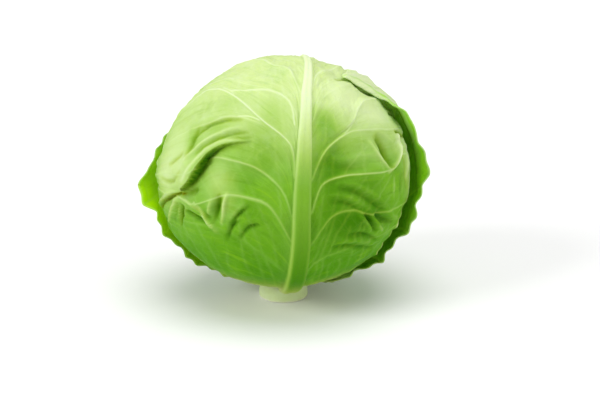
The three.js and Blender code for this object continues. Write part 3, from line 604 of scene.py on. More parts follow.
frontLeaf = {
    "azimuth": 9, "elevation": 5, "lift": 0, "lean": 0, "leanSide": 1, "base": -121, "tip": 172,
    "midrib": [[0, -121], [0, -30], [0, 0], [3, 32], [8, 69], [20, 110], [33, 140], [38, 172]],
    "veins": [
        [
            [[0, -121], [-40, -118], [-80, -102], [-112, -75]],
            [[0, -97], [-34, -84], [-76, -74], [-124, -52]],
            [[0, -64], [-28, -42], [-58, -24], [-92, -26], [-136, -28]],
            [[0, -30], [-21, -5], [-36, 1], [-51, 2], [-64, -3], [-78, -8], [-92, -5], [-139, -9]],
            [[0, -12], [-13, 6], [-28, 20], [-46, 26], [-64, 28], [-78, 18], [-92, 13], [-110, 12],
             [-141, 4]],
            [[0, 3], [-8, 28], [-22, 49], [-48, 59], [-74, 54], [-98, 49], [-134, 34]],
            [[0, 14], [-6, 36], [-26, 56], [-48, 79], [-70, 95], [-88, 96], [-118, 76]],
            [[3, 38], [-1, 62], [-14, 79], [-40, 91], [-60, 107], [-96, 112]],
            [[8, 74], [1, 102], [-12, 114], [-24, 130], [-46, 150]],
            [[20, 112], [10, 134], [-6, 152], [-18, 164]],
            [[38, 172], [26, 173], [12, 171], [0, 169]],
        ],
        [
            [[0, -121], [34, -118], [62, -98], [82, -73]],
            [[0, -90], [26, -76], [54, -64], [86, -55]],
            [[0, -60], [20, -47], [48, -42], [92, -38]],
            [[0, -34], [20, -14], [36, -11], [54, -17], [100, -20]],
            [[0, -10], [14, 8], [29, 13], [45, 13], [65, 12], [78, 14], [89, 22], [108, 20]],
            [[0, 12], [18, 31], [36, 42], [50, 44], [80, 43], [109, 44]],
            [[2, 24], [20, 37], [36, 46], [44, 52], [50, 60], [58, 67], [75, 71], [110, 74]],
            [[5, 50], [25, 72], [50, 84], [78, 94], [105, 98]],
            [[9, 76], [24, 94], [45, 106], [72, 122], [92, 128]],
            [[23, 120], [40, 134], [56, 146], [70, 153]],
            [[38, 172], [48, 170], [56, 166], [62, 162]],
        ],
    ],
    # how plainly each side vein shows
    "paint": [
        [0, 0.3, 0.4, 0.8, 0.65, 0.5, 1.0, 0.3, 0.7, 0.4, 0],
        [0, 0.3, 0.4, 0.45, 0.9, 0.7, 0.8, 0.3, 0.7, 0.4, 0],
    ],
    # the share of its way where a side vein that branches off another begins to show
    "starts": [{5: 0.4}, {6: 0.3}],
    "extraVeins": [
        ([[-42, 58.5], [-34, 58], [-27, 55]], 0.8),
        ([[34, 42], [38, 45], [44, 51]], 0.6),
        ([[-2, 50], [-4, 68], [-16, 79], [-31, 83], [-51, 85]], 0.8),
        ([[-78, -7], [-72, -12], [-68, -18], [-62, -22]], 0.9),
        ([[-48, 80], [-51, 85], [-60, 92]], 0.6),
        ([[78, 14], [86, 20], [90, 28], [88, 38]], 0.8),
        ([[30, 13], [40, 24], [52, 32]], 0.2),
    ],
    # how far each side vein stands up, as a share of veinHeight
    "strength": [0, 0.7, 0.7, 0.9, 1, 0.8, 1, 0.6, 0.8, 0.5, 0],
    "veinHeight": 0.45, "veinWidth": 0.66, "veinFoot": 1.4,
    "rib": {
        "halfWidth": [10.4, 2.2], "height": [5.0, 1.3], "groove": 0.22,
        # painted highlights along the midrib's edges: where across the rib, how bright and how wide
        "edges": [(-0.82, 0.55, 0.15), (0.8, 0.2, 0.12)],
    },
    "sag": 1.0, "skew": 1.2,
    "flare": [
        [[-120, 0], [-40, 0.4], [10, 0.8], [60, 0], [100, 0]],
        [[-120, 0], [-60, 0.6], [0, 1], [60, 0.4], [100, 0]],
    ],
    "flareReach": 22, "frill": [[[0, 0.5]], [[0, 0.9]]], "frillTurns": 3.7, "frillFine": 0.5,
    "waves": [(2.2, 2.9, 0.7), (1.0, 6.7, 0.2)],
    # the folded lip at the left: its height and its trough's depth are given from its inner to its outer end
    "fold": {
        "line": [[-34, 40], [-40, 39.5], [-48, 38.5], [-56, 36.5], [-64, 31.5], [-71, 24], [-77, 15.5],
                 [-83, 8], [-91, 1]],
        "lapSide": -1,
        "height": [0.4, 1.4, 2.2, 3.4, 4.8, 5.6, 5.2, 4.2, 2.0],
        "trough": [0.1, 0.5, 1.0, 2.0, 3.6, 4.6, 4.4, 3.6, 1.2],
        "roll": 0.9, "lipReach": 3.2, "lipShare": 0.5, "reach": 16, "troughReach": 7.5, "endReach": 2,
        "push": 2.6, "pushRise": (-0.8, 1.2), "pushReach": 5, "shadeReach": 3.6, "shadeEdge": (0.3, 1.0),
    },
    # each with its height or depth, its width, and how much painted highlight (above 0) or painted shade
    # (below 0) its colour carries
    "creases": [
        ([[-40, 56], [-52, 56], [-64, 54], [-74, 49], [-83, 43]], -1.6, 2.2, -0.6),
        ([[-77, 51], [-81, 44], [-83, 37], [-86, 30]], -1.4, 3.4, -0.6),
        ([[-64, 62], [-74, 57], [-90, 52]], 1.0, 3.0, 0),
        ([[-40, 50], [-50, 48.5], [-60, 45], [-70, 40], [-79, 33], [-88, 26]], 1.6, 1.4, 0.5),
        ([[-36, 46.5], [-46, 45.5], [-57, 42.5], [-68, 37], [-76, 31]], -1.2, 1.5, -0.6),
        ([[-40, 42.5], [-50, 41.5], [-60, 39], [-69, 33], [-76, 26], [-82, 18], [-89, 9]], 0.8, 1.8, 0.5),
        ([[-34, 42.5], [-42, 43], [-50, 43]], -0.7, 1.2, -0.4),
        ([[-107, 20], [-99, 25], [-91, 31]], -1.2, 2.2, -0.3),
        ([[-120, 6], [-108, 5], [-97, 9], [-90, 16]], -1.4, 2.4, -0.3),
        ([[-86, 24], [-92, 12], [-99, 3], [-108, -6]], 1.4, 3.0, 0),
        ([[-88, -2], [-81, 1], [-75, 4]], -2.4, 3.0, -0.5),
        ([[-50.5, 3], [-52.5, -4], [-53.5, -11], [-55, -20]], 2.6, 1.4, 0.45),
        ([[-56, 1], [-58, -5], [-59.5, -11], [-61, -19]], -3.8, 2.4, -0.9),
        ([[-63, -3], [-64.5, -9], [-66, -15]], 1.6, 1.4, 0.3),
        ([[-91, -4], [-81, -8.5], [-72, -13], [-64, -21], [-57, -28]], 3.0, 1.6, 0.35),
        ([[-76, -9.5], [-70, -14], [-63, -18]], -2.4, 1.8, -0.55),
        ([[-92, -11], [-93, -18], [-94, -25], [-96, -33]], -3.6, 2.0, -1.0),
        ([[-87, -16], [-77, -18.5], [-66, -21]], -3.6, 1.6, -1.0),
        ([[-94, -5], [-101, -13], [-108, -26], [-117, -44]], 1.6, 1.8, 0.45),
        ([[-97, -11], [-99, -21], [-104, -33]], -1.0, 1.4, -0.4),
        ([[-96, -16], [-95, -24], [-97, -34]], 0.8, 1.3, 0.3),
        ([[-90, -2], [-93, -3], [-104, -8], [-119, -18], [-132, -31]], -3.4, 1.5, -0.9),
        ([[-99, -2], [-110, -8], [-124, -18], [-136, -30]], 2.2, 2.2, 0.25),
        ([[-118, -18], [-126, -28], [-127, -41]], -2.4, 1.8, -0.7),
        ([[-35, -5], [-41, -10], [-45.5, -15], [-49, -22]], -2.8, 1.4, -0.8),
        ([[-38, -3], [-44, -9], [-49, -16]], 1.2, 1.8, 0.15),
        ([[-42, -16], [-48, -22], [-52, -32]], -3.0, 1.6, -0.7),
        ([[-28, -18], [-36, -21], [-42, -30]], -2.8, 1.6, -0.7),
        ([[-43, -18], [-37, -17], [-26, -16]], 1.6, 1.7, 0.1),
        ([[54, 36], [59, 27], [65, 19], [72, 11]], 1.8, 1.6, 0.45),
        ([[61, 38], [67, 31], [71, 23], [74, 14]], -3.4, 3.4, -0.85),
        ([[60, 42], [70, 39], [79, 31], [82, 18]], 1.6, 2.4, 0.1),
        ([[70, 11], [80, 16], [87, 23], [91, 33], [90, 42]], 2.4, 1.8, 0.85),
        ([[94, 26], [97, 12], [96, -6]], -1.6, 2.6, -0.25),
        ([[90, 58], [97, 58], [106, 55]], -2.8, 1.4, -1.0),
        ([[86, 41], [94, 40], [104, 36]], -2.8, 1.4, -1.0),
        ([[101, 52], [103, 34], [103, 18], [99, 2]], 1.8, 3.0, 0.6),
        ([[41, 90], [51, 91], [58, 88], [64, 82], [72, 78], [82, 75], [89, 69], [97, 63], [106, 56]],
         -1.6, 2.0, -0.95),
        ([[14, 30], [30, 24], [48, 26], [62, 24]], 0.9, 2.4, 0.12),
        ([[18, 22], [34, 18], [52, 18]], -0.8, 2.6, -0.2),
        ([[25, 9], [35, 7], [48, 1], [62, -9], [76, -23]], 1.6, 1.8, 0.3),
        ([[26, 5], [37, 2], [48, -5], [60, -14], [72, -26]], -1.8, 2.0, -0.5),
        ([[19, 1], [31, -1], [43, -8], [55, -17]], 1.2, 1.6, 0.25),
        ([[20, -4], [32, -6], [42, -13]], -1.4, 1.8, -0.4),
        ([[41, -15], [48, -22], [56, -32]], 2.4, 1.5, 0.6),
        ([[45, -15], [53, -23], [61, -34]], -3.2, 1.5, -0.9),
        ([[50, -16], [58, -24], [69, -36]], 2.6, 1.5, 0.6),
        ([[55, -17], [64, -24], [80, -32]], -3.8, 2.2, -0.9),
        ([[62, -17], [74, -23], [89, -32]], 2.0, 2.0, 0.2),
        ([[34, -31], [45, -32], [55, -37], [65, -44]], -2.4, 1.8, -0.8),
        ([[28, -33], [42, -36], [57, -43]], 1.6, 1.6, 0.25),
        ([[22, -39], [40, -42], [64, -53]], -2.4, 2.4, -0.8),
        ([[77, 7], [76, -4], [76, -15]], 1.4, 1.6, 0.3),
        ([[91, 8], [88, -2], [86, -13]], -1.4, 1.8, -0.35),
    ],
    # where the blade as a whole stands out or sinks, and how widely
    "swells": [
        ((46, 104), -1.6, 12), ((-24, 44), -1.2, 16), ((26, 22), -1.0, 14), ((46, 72), 1.4, 16),
        ((-70, -30), 1.2, 14),
    ],
    # where painted light makes it paler, or painted shade a deeper green below 0, and how far that goes
    # across and up
    "patches": [
        ((-106, 38), 0.55, (26, 34)), ((-114, 6), 0.5, (22, 22)), ((-88, 20), 0.3, (10, 20)),
        ((-58, 12), 0.4, (12, 12)), ((-52, -6), 0.25, (12, 10)), ((44, 72), 0.8, (20, 16)),
        ((70, 56), 0.75, (22, 12)), ((92, 34), 0.6, (12, 14)), ((66, 27), 0.3, (8, 10)),
        ((104, 6), 0.45, (10, 26)), ((-84, 44), -0.35, (7, 12)), ((-62, 52), -0.35, (14, 5)),
        ((22, 24), -0.95, (14, 15)), ((22, -2), -0.6, (15, 18)), ((20, 50), -0.9, (11, 13)),
        ((-24, 34), -0.5, (14, 18)), ((-50, 72), -0.3, (16, 10)), ((-16, 62), -0.35, (10, 14)),
        ((34, -22), -0.8, (22, 14)), ((56, -16), -0.65, (18, 12)), ((50, 4), -0.5, (16, 7)),
        ((-30, -12), -0.25, (16, 10)), ((0, -24), -0.5, (8, 16)),
    ],
    "dryEdges": [
        ([[-88, -2], [-93, -2], [-104, -8], [-119, -18], [-132, -31]], 0.9, 1.1),
        ([[-90, -14], [-90, -22]], 0.5, 1.0),
    ],
    "crossVeins": {"spacing": 0.11, "width": 0.8, "paint": 0.14, "height": 0.2},
    "crinkles": [(34, 1.0), (13, 0.7), (6, 0.38), (3.2, 0.14)], "streaks": [(9, 30, 0.8), (4.5, 22, 0.4)],
    # how closely the grid's rows lie between one side vein and the next
    "density": [0.5, 0.7, 1.0, 1.5, 1.5, 1.5, 1.3, 1.1, 0.8, 0.6],
    "grid": (222, 196), "ribColumns": 14, "thickness": 0.9, "mostThickness": 5.0, "seed": 5,
}


# an inner wrapper leaf is a plain tongue round the ball, with no flare, frill or waves
def innerWrapper(azimuth, elevation, lift, reach, seed):
    base = -(90 + elevation) * math.radians(ball["sheetRadius"]) + 25
    halves = []
    for side in (-1, 1):
        halves.append([
            [0, base], [side * 38, base + 2], [side * 74, base + 28], [side * 94, base + 82],
            [side * 96, reach * 0.35], [side * 62, reach * 0.8], [side * 26, reach * 0.97], [0, reach],
        ])
    return {
        "azimuth": azimuth, "elevation": elevation, "lift": lift, "lean": 0, "leanSide": 1,
        "base": base, "tip": reach, "midrib": [[0, base], [0, reach]], "margin": halves,
        "veinPairs": 5, "strength": 0.8, "veinHeight": 0.5, "veinWidth": 1.1, "veinFoot": 2.2,
        "rib": {"halfWidth": [7, 1.6], "height": [0.7, 0.4]}, "sag": 0.3, "skew": 1.2,
        "flare": [[[0, 0]], [[0, 0]]], "flareReach": 20, "waves": [],
        "frill": [[[0, 0]], [[0, 0]]], "frillTurns": 1, "frillFine": 0,
        "crossVeins": {"spacing": 0.14, "width": 0.9, "paint": 0.4, "height": 0.15},
        "crinkles": [(30, 0.3), (9, 0.15)], "streaks": [(6, 26, 0.1)],
        "grid": (84, 84), "ribColumns": 8, "thickness": 0.8, "mostThickness": 2.0, "seed": seed,
    }


# sRGB hex to the linear colour that the nodes take
def hexColour(code):
    values = [int(code[i:i + 2], 16) / 255 for i in (1, 3, 5)]
    return [v / 12.92 if v <= 0.04045 else ((v + 0.055) / 1.055) ** 2.4 for v in values] + [1.0]


# adds a node with its settings, fills inputs with values, hex colours or sockets, and gives one output
def put(tree, kind, inputs, output=0, **settings):
    node = tree.nodes.new("ShaderNode" + kind)
    for key, value in settings.items():
        setattr(node, key, value)
    for key, value in inputs.items():
        if isinstance(value, bpy.types.NodeSocket):
            tree.links.new(value, node.inputs[key])
        else:
            node.inputs[key].default_value = hexColour(value) if isinstance(value, str) else value
    return node.outputs[output] if output is not None else node


# what the nodes of a colour mix, an eased ramp and sums are called and set to
blend = {"kind": "Mix", "output": 2, "data_type": "RGBA", "clamp_factor": True}
ease = {"kind": "MapRange", "interpolation_type": "SMOOTHSTEP"}
times = {"kind": "Math", "operation": "MULTIPLY"}
timesPlus = {"kind": "Math", "operation": "MULTIPLY_ADD"}


def newMaterial(name):
    material = bpy.data.materials.new(name)
    material.use_nodes = True
    material.node_tree.nodes.clear()
    return material, material.node_tree


# Waxy cabbage leaf: a soft bloom of wax over a thin wet blade, so its highlights are broad and dull and it
# glows where light comes through. Veins and midrib are paler than the blade. Paler colours towards the crown
# and deeper ones low down are painted light and painted shade.
def waxyLeaf(name, look):
    material, tree = newMaterial(name)
    span = sheetSpan
    onSheet = put(tree, "UVMap", {}, uv_map="sheet")
    inMm = put(tree, "Mapping", {"Vector": onSheet, "Scale": (span, span, span)})
    alongVeins = put(tree, "UVMap", {}, uv_map="veinwise")
    drawn = put(tree, "Mapping", {"Vector": alongVeins, "Scale": (span / 3, span / 28, 1)})  # 3 by 28 mm
    height = put(tree, "SeparateXYZ", {0: put(tree, "TexCoord", {}, "Object")}, "Z")
    mark = {}
    for key in ("vein", "rib", "rim", "stemEnd", "pale", "dry", "shade"):
        mark[key] = put(tree, "Attribute", {}, "Fac", attribute_name=key)

    # cloudy patterns: where they lie, how wide a cloud is in mm, detail and roughness
    clouds = {
        "broad": (inMm, 45, 2.0, 0.5),
        "small": (inMm, 14, 3.0, 0.55),
        "streaks": (drawn, 1, 4.0, 0.6),  # drawn out along the side veins
        "nick": (inMm, 5, 4.0, 0.7),
        "dust": (inMm, 20, 6.0, 0.75),
        "grain": (inMm, 1.6, 3.0, 0.5),
        "pucker": (inMm, 7, 2.0, 0.5),
    }
    cloud = {}
    for key, (place, width, detail, roughness) in clouds.items():
        settings = {"Vector": place, "Scale": 1 / width, "Detail": detail, "Roughness": roughness}
        cloud[key] = put(tree, "TexNoise", settings)
    small = put(tree, inputs={0: cloud["small"], 1: 0.4, 2: 0.0}, **timesPlus)
    cloud["mixed"] = put(tree, inputs={0: cloud["broad"], 1: 0.6, 2: small}, **timesPlus)
    # the finest veins: a net of cells about 7 mm wide, drawn wider than life so that it shows
    warp = put(tree, "TexNoise", {"Vector": inMm, "Scale": 1 / 9, "Detail": 1.0}, "Color")
    bent = put(tree, "VectorMath", {0: warp, 1: (5, 5, 5), 2: inMm}, operation="MULTIPLY_ADD")
    cells = put(tree, "TexVoronoi", {"Vector": bent, "Scale": 1 / 7}, "Distance", feature="DISTANCE_TO_EDGE")

    # how much of each shows: what it follows, where on that it begins and ends, and its least and most
    ramps = {
        "lower": (height, *look["lowTo"], 0, 1),
        "upper": (height, *look["topTo"], 0, 1),
        "lighter": (cloud["mixed"], 0.5, 0.68, 0, look["cloudShare"] / 2),
        "deeper": (cloud["mixed"], 0.5, 0.34, 0, look["cloudShare"]),
        "palerStreak": (cloud["streaks"], 0.52, 0.7, 0, look["streakShare"]),
        "deeperStreak": (cloud["streaks"], 0.48, 0.3, 0, look["streakShare"]),
        "net": (cells, 0.09, 0.0, 0, 1),
        "foot": (mark["stemEnd"], 0.45, 1.0, 0, 0.8),
        "nick": (cloud["nick"], 0.62, 0.74, 0, look["brownShare"]),
        "waxDustAndSheen": (cloud["dust"], 0.42, 0.75, 0, look["waxDustAndSheenShare"]),
        "rough": (cloud["dust"], 0.3, 0.7, *look["gloss"]),
    }
    ramp = {}
    for key, (value, begin, end, least, most) in ramps.items():
        settings = {"Value": value, "From Min": begin, "From Max": end, "To Min": least, "To Max": most}
        ramp[key] = put(tree, inputs=settings, **ease)
    products = {
        "dark": (mark["pale"], -1.0),
        "net": (ramp["net"], look["netShare"]),
        "rib": (mark["rib"], look["ribShare"]),
        "vein": (mark["vein"], look["veinShare"]),
        "rim": (mark["rim"], look["rimShare"]),
        "nick": (ramp["nick"], mark["rim"]),
        "torn": (put(tree, "Math", {0: ramp["nick"], 1: 0.7}, operation="ADD"), mark["dry"]),
        "waxDustAndSheen": (ramp["waxDustAndSheen"], ramp["upper"]),
    }
    share = {key: put(tree, inputs={0: a, 1: b}, **times) for key, (a, b) in products.items()}

    # colours that pale with height: painted light towards the lit crown and painted shade low down
    ribBelow = put(tree, inputs={0: ramp["lower"], 6: look["ribLow"], 7: look["rib"]}, **blend)
    fades = {
        "light": (look["lightLow"], look["light"]),
        "deep": (look["deep"], look["deepTop"]),
        "vein": (look["vein"], look["veinTop"]),
        "rib": (ribBelow, look["ribTop"]),
    }
    colour = {}
    for key, (below, above) in fades.items():
        colour[key] = put(tree, inputs={0: ramp["upper"], 6: below, 7: above}, **blend)
    # one over another, from the blade's green up to the dry brown nicks of its rim
    layers = [
        (ramp["lower"], look["middle"]),
        (ramp["upper"], look["top"]),
        (ramp["lighter"], colour["light"]),
        (ramp["deeper"], colour["deep"]),
        (ramp["palerStreak"], colour["light"]),
        (ramp["deeperStreak"], colour["deep"]),
        # the patches' painted light, then their painted shade, then the painted shade of folds and creases
        (mark["pale"], look["patch"]),
        (share["dark"], colour["deep"]),
        (mark["shade"], look["crease"]),
        (share["net"], look["vein"]),
        (share["rib"], colour["rib"]),
        (share["vein"], colour["vein"]),
        (ramp["foot"], look["stem"]),
        (share["rim"], look["rim"]),
        (share["nick"], "#8a7434"),
        (share["torn"], "#6f6a24"),
    ]
    green = look["low"]
    for shown, over in layers:
        green = put(tree, inputs={0: shown, 6: green, 7: over}, **blend)
    # leaf green soaks up blue, so the deeper the green is the yellower it looks
    parts = put(tree, "SeparateColor", {0: green}, None).outputs
    steep = put(tree, "Math", {0: parts["Green"], 1: 3.6}, operation="POWER")
    most = put(tree, inputs={0: steep, 1: 0.85}, **times)
    blue = put(tree, "Math", {0: parts["Blue"], 1: most}, operation="MINIMUM")
    green = put(tree, "CombineColor", {"Red": parts["Red"], "Green": parts["Green"], "Blue": blue})
    # bloom: a white dust of wax in patches of 20 mm, which also dulls the gloss; it lies only on the upper
    # head, where its whiteness is partly a painted sheen
    skin = put(tree, inputs={0: share["waxDustAndSheen"], 6: green, 7: "#e3f0cf"}, **blend)

    # relief too fine for the mesh: the net, a grain of 1.6 mm, puckers of 7 mm and the streaks
    fine = 0.0
    heights = [(ramp["net"], 0.22), (cloud["grain"], 0.16), (cloud["pucker"], 0.7), (cloud["streaks"], 0.9)]
    for pattern, tall in heights:
        fine = put(tree, inputs={0: pattern, 1: tall, 2: fine}, **timesPlus)
    tilt = put(tree, "Bump", {"Height": fine, "Strength": look["relief"], "Distance": 0.001})
    shader = put(tree, "BsdfPrincipled", {
        "Base Color": skin, "Roughness": ramp["rough"], "Normal": tilt, "IOR": 1.45,
        "Specular IOR Level": look["sheen"], "Specular Tint": look["sheenTint"],
        "Subsurface Weight": look["glow"], "Subsurface Radius": (0.9, 1.0, 0.25), "Subsurface Scale": 0.003,
    })
    passed = put(tree, inputs={0: 0.6, 6: skin, 7: look["through"]}, **blend)
    through = put(tree, "BsdfTranslucent", {"Color": passed, "Normal": tilt})
    both = put(tree, "MixShader", {0: look["throughShare"], 1: shader, 2: through})
    put(tree, "OutputMaterial", {"Surface": both}, None)
    return material


# low, middle and top are heights of the head, whose ramps lowTo and topTo give in metres; paler towards the
# top is painted light and deeper low down is painted shade. crease is the deep green of painted shade in
# folds and creases, and patch the colour of painted light
frontSkin = {
    "low": "#52960a", "middle": "#7ab42a", "top": "#cfe596", "lowTo": (0.03, 0.1), "topTo": (0.1, 0.168),
    "light": "#dff0b8", "lightLow": "#98cc20", "deep": "#468406", "deepTop": "#8cbf44",
    "cloudShare": 0.3, "streakShare": 0.3, "crease": "#2a6a00", "patch": "#dcefae",
    "vein": "#c2e08a", "veinTop": "#e8f6c8", "veinShare": 0.9, "netShare": 0.03,
    "ribLow": "#4c8a08", "rib": "#7fb234", "ribTop": "#e8f6c6", "ribShare": 0.85,
    "stem": "#dfe8bd", "rim": "#e2f0c0", "rimShare": 0.7, "brownShare": 0.8,
    "waxDustAndSheenShare": 0.25, "gloss": (0.36, 0.52), "relief": 0.35, "glow": 0.15,
    "sheen": 0.03, "sheenTint": "#dcf2a8", "through": "#9fd21c", "throughShare": 0.1,
}
outerSkin = {
    **frontSkin,
    "low": "#6aae1c", "middle": "#94ca40", "top": "#f0fcc4", "topTo": (0.1, 0.162),
    "light": "#f4fcd4", "lightLow": "#a8d634", "deep": "#3c7a08", "deepTop": "#b4dc68",
    "patch": "#a6e428", "vein": "#b6dc50", "veinTop": "#f0f8d0",
    "ribLow": "#a4ca5c", "rib": "#b6d87c", "ribTop": "#e0eeb8", "rimShare": 0.35,
    "waxDustAndSheenShare": 0.1, "gloss": (0.28, 0.42), "through": "#b4ec10", "throughShare": 0.28,
}
# here the patch colour is the painted glow of light through the thin leaf
thinSkin = {**outerSkin, "patch": "#ccf604", "through": "#d8f808", "throughShare": 0.5}
innerSkin = {
    **frontSkin,
    "low": "#9cc35c", "middle": "#b2d47c", "top": "#cfe2a0", "light": "#d9e9b0", "lightLow": "#d9e9b0",
    "deep": "#93bd50", "deepTop": "#93bd50", "vein": "#dbe9b6", "ribLow": "#c8dca0", "rib": "#d6e6b2",
}

leafPieces = [
    ("front_leaf", frontLeaf, "waxyFrontLeaf", frontSkin, "front_leaf"),
    ("outer_leaf_left", outerLeafLeft, "thinOuterLeaf", thinSkin, "outer_leaf"),
    ("outer_leaf_right", outerLeafRight, "waxyOuterLeaf", outerSkin, "outer_leaf"),
    ("wrapper_leaf_back", innerWrapper(176, 16, -4.2, 112, 31), "waxyInnerLeaf", innerSkin, "heart_leaf"),
    ("wrapper_leaf_left", innerWrapper(-72, 12, -6.5, 96, 37), "waxyInnerLeaf", innerSkin, "heart_leaf"),
    ("wrapper_leaf_right", innerWrapper(78, 12, -8.8, 96, 41), "waxyInnerLeaf", innerSkin, "heart_leaf"),
]
for node, leaf, finish, look, slot in leafPieces:
    blade = makeBlade(node + "_blade", leaf)
    blade.data.materials.append(bpy.data.materials.get(finish) or waxyLeaf(finish, look))
    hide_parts(node)
    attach(blade, "root")
print("leaves are on")


# Cut cabbage stem: pale wet pith with a ring of fibres, dull and a little browned by air
def cutStem():
    material, tree = newMaterial("cutCabbageStem")
    inMm = put(tree, "Mapping", {"Vector": put(tree, "TexCoord", {}, "Object"), "Scale": (1000, 1000, 1000)})
    height = put(tree, "SeparateXYZ", {0: inMm}, "Z")
    level = put(tree, "VectorMath", {0: inMm, 1: (1, 1, 0)}, operation="MULTIPLY")
    fromAxis = put(tree, "VectorMath", {0: level}, "Value", operation="LENGTH")
    fibres = put(tree, "TexNoise", {"Vector": inMm, "Scale": 1 / 1.4, "Detail": 4.0})
    stain = put(tree, "TexNoise", {"Vector": inMm, "Scale": 1 / 11, "Detail": 4.0})
    # what each follows, where on that it begins and ends, and its most
    ramps = {
        "stain": (stain, 0.4, 0.7, 1),
        "inner": (fromAxis, 10.5, 12.6, 1),  # the ring of fibres is 12.6 mm from the stem's axis
        "outer": (fromAxis, 14.8, 12.6, 0.55),
        "strands": (fibres, 0.5, 0.75, 0.4),
        "bark": (height, 0.4, 2.5, 0.75),
    }
    ramp = {}
    for key, (value, begin, end, most) in ramps.items():
        settings = {"Value": value, "From Min": begin, "From Max": end, "To Max": most}
        ramp[key] = put(tree, inputs=settings, **ease)
    ring = put(tree, inputs={0: ramp["inner"], 1: ramp["outer"]}, **times)
    pith = "#e9ecd2"
    layers = {"#d9dcae": ramp["stain"], "#b9c07a": ring, "#c8b98a": ramp["strands"], "#c9dd9a": ramp["bark"]}
    for over, shown in layers.items():
        pith = put(tree, inputs={0: shown, 6: pith, 7: over}, **blend)
    tilt = put(tree, "Bump", {"Height": fibres, "Strength": 0.5, "Distance": 0.0006})
    shader = put(tree, "BsdfPrincipled", {
        "Base Color": pith, "Roughness": 0.55, "IOR": 1.4, "Normal": tilt,
        "Subsurface Weight": 0.3, "Subsurface Radius": (1.0, 0.9, 0.5), "Subsurface Scale": 0.004,
    })
    put(tree, "OutputMaterial", {"Surface": shader}, None)
    return material


# the stump and the core that it goes on as: half widths and heights in mm
stem = {
    "sides": 96,
    "scar": 0.8,
    "profile": [(15.8, 0), (17.0, 0.5), (17.4, 1.8), (17.0, 12), (16.6, 22), (13, 40), (9, 62), (5, 82),
                (0.8, 91.6)],
}


def makeStem():
    foot = stem["profile"][0][0] * mm
    bpy.ops.object.select_all(action="DESELECT")
    bpy.ops.mesh.primitive_circle_add(vertices=stem["sides"], radius=foot, fill_type="NGON")
    piece = bpy.context.object
    piece.name = piece.data.name = "cut_stem"
    bpy.ops.object.mode_set(mode="EDIT")
    bpy.ops.mesh.select_all(action="SELECT")
    bpy.ops.mesh.inset(thickness=stem["scar"] * mm)
    bpy.ops.mesh.select_all(action="DESELECT")
    bpy.ops.mesh.select_mode(type="EDGE")
    bpy.ops.object.mode_set(mode="OBJECT")
    for edge in piece.data.edges:
        edge.select = all(abs(piece.data.vertices[i].co.length - foot) < 1e-5 for i in edge.vertices)
    bpy.ops.object.mode_set(mode="EDIT")
    for (r0, z0), (r1, z1) in zip(stem["profile"][:-1], stem["profile"][1:]):
        bpy.ops.mesh.extrude_edges_move(TRANSFORM_OT_translate={"value": (0, 0, (z1 - z0) * mm)})
        bpy.ops.transform.resize(value=(r1 / r0, r1 / r0, 1), center_override=(0, 0, z1 * mm))
    bpy.ops.mesh.edge_face_add()
    bpy.ops.mesh.select_all(action="SELECT")
    bpy.ops.mesh.normals_make_consistent(inside=False)
    bpy.ops.object.mode_set(mode="OBJECT")
    bpy.ops.object.shade_smooth_by_angle(angle=math.radians(40))
    piece.data.materials.append(cutStem())
    return piece


stemPiece = makeStem()
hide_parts("stem_core")
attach(stemPiece, "root")


# Inner cabbage leaf, pale for want of light. It shows only as slivers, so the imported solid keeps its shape.
def paleHeart():
    material, tree = newMaterial("paleHeartLeaf")
    place = put(tree, "TexCoord", {}, "Object")
    cloud = put(tree, "TexNoise", {"Vector": place, "Scale": 60.0, "Detail": 4.0})  # 17 mm wide
    share = put(tree, inputs={"Value": cloud, "From Min": 0.35, "From Max": 0.7}, **ease)
    colour = put(tree, inputs={0: share, 6: "#c4dc92", 7: "#e2edc0"}, **blend)
    shader = put(tree, "BsdfPrincipled", {
        "Base Color": colour, "Roughness": 0.45, "IOR": 1.45,
        "Subsurface Weight": 0.2, "Subsurface Scale": 0.004,
    })
    put(tree, "OutputMaterial", {"Surface": shader}, None)
    return material


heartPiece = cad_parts["heart"]
heartPiece.data.materials.clear()
heartPiece.data.materials.append(paleHeart())
print("stem and heart are done")

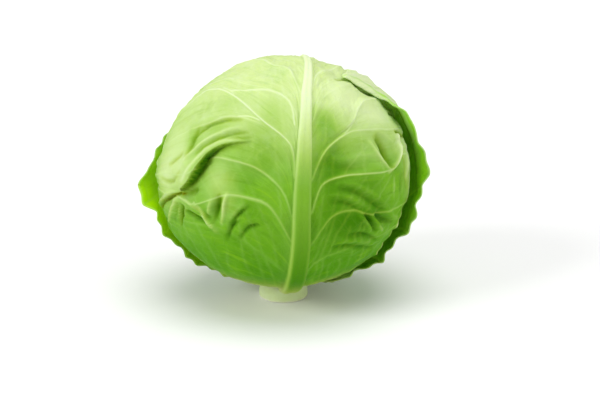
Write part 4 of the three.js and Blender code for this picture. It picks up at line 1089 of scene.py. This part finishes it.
# plain studio: a pale floor, a wide soft light overhead and a softer one from the upper left
studio = {
    "floor": "#f4f4f4",
    "floorSize": 8.0,
    "world": 0.45,
    "lights": {
        "overhead": {"towards": (0.05, -0.1, 1.0), "strength": 1.6, "spread": 50},
        "keyLeft": {"towards": (-0.9, -0.5, 0.55), "strength": 1.5, "spread": 25},
        "fillRight": {"towards": (0.95, -0.35, 0.45), "strength": 0.7, "spread": 60},
    },
}
bpy.ops.object.select_all(action="DESELECT")
bpy.ops.mesh.primitive_plane_add(size=studio["floorSize"])
floor = bpy.context.object
floor.name = floor.data.name = "studio_floor"
paper, paperTree = newMaterial("whitePaper")
paperShader = put(paperTree, "BsdfPrincipled", {"Base Color": studio["floor"], "Roughness": 0.9})
put(paperTree, "OutputMaterial", {"Surface": paperShader}, None)
floor.data.materials.append(paper)

world = bpy.data.worlds.new("studioWorld")
world.use_nodes = True
world.node_tree.nodes["Background"].inputs["Color"].default_value = hexColour("#ffffff")
world.node_tree.nodes["Background"].inputs["Strength"].default_value = studio["world"]
bpy.context.scene.world = world

for name, light in studio["lights"].items():
    bpy.ops.object.light_add(type="SUN")
    lamp = bpy.context.object
    lamp.name = name
    lamp.data.energy = light["strength"]
    lamp.data.angle = math.radians(light["spread"])
    lamp.rotation_euler = Vector(light["towards"]).to_track_quat("Z", "Y").to_euler()

# the photograph's camera: 17 degrees above the table, about a metre away
view = {"elevation": 17.0, "distance": 990.0, "lens": 85.0, "across": 11.9, "down": 18.0}
e = math.radians(view["elevation"])
back = Vector((0, -math.cos(e), math.sin(e)))
up = Vector((0, math.sin(e), math.cos(e)))
target = Vector((view["across"], 0, ball["centreHeight"])) - up * view["down"]
place = (target + back * view["distance"]) * mm
bpy.ops.object.camera_add(location=place, rotation=(math.radians(90) - e, 0, 0))
camera = bpy.context.object
camera.name = "photoCamera"
camera.data.lens = view["lens"]
camera.data.sensor_width = 36
bpy.context.scene.camera = camera
bpy.context.scene.view_settings.view_transform = "Standard"
print("studio is lit")
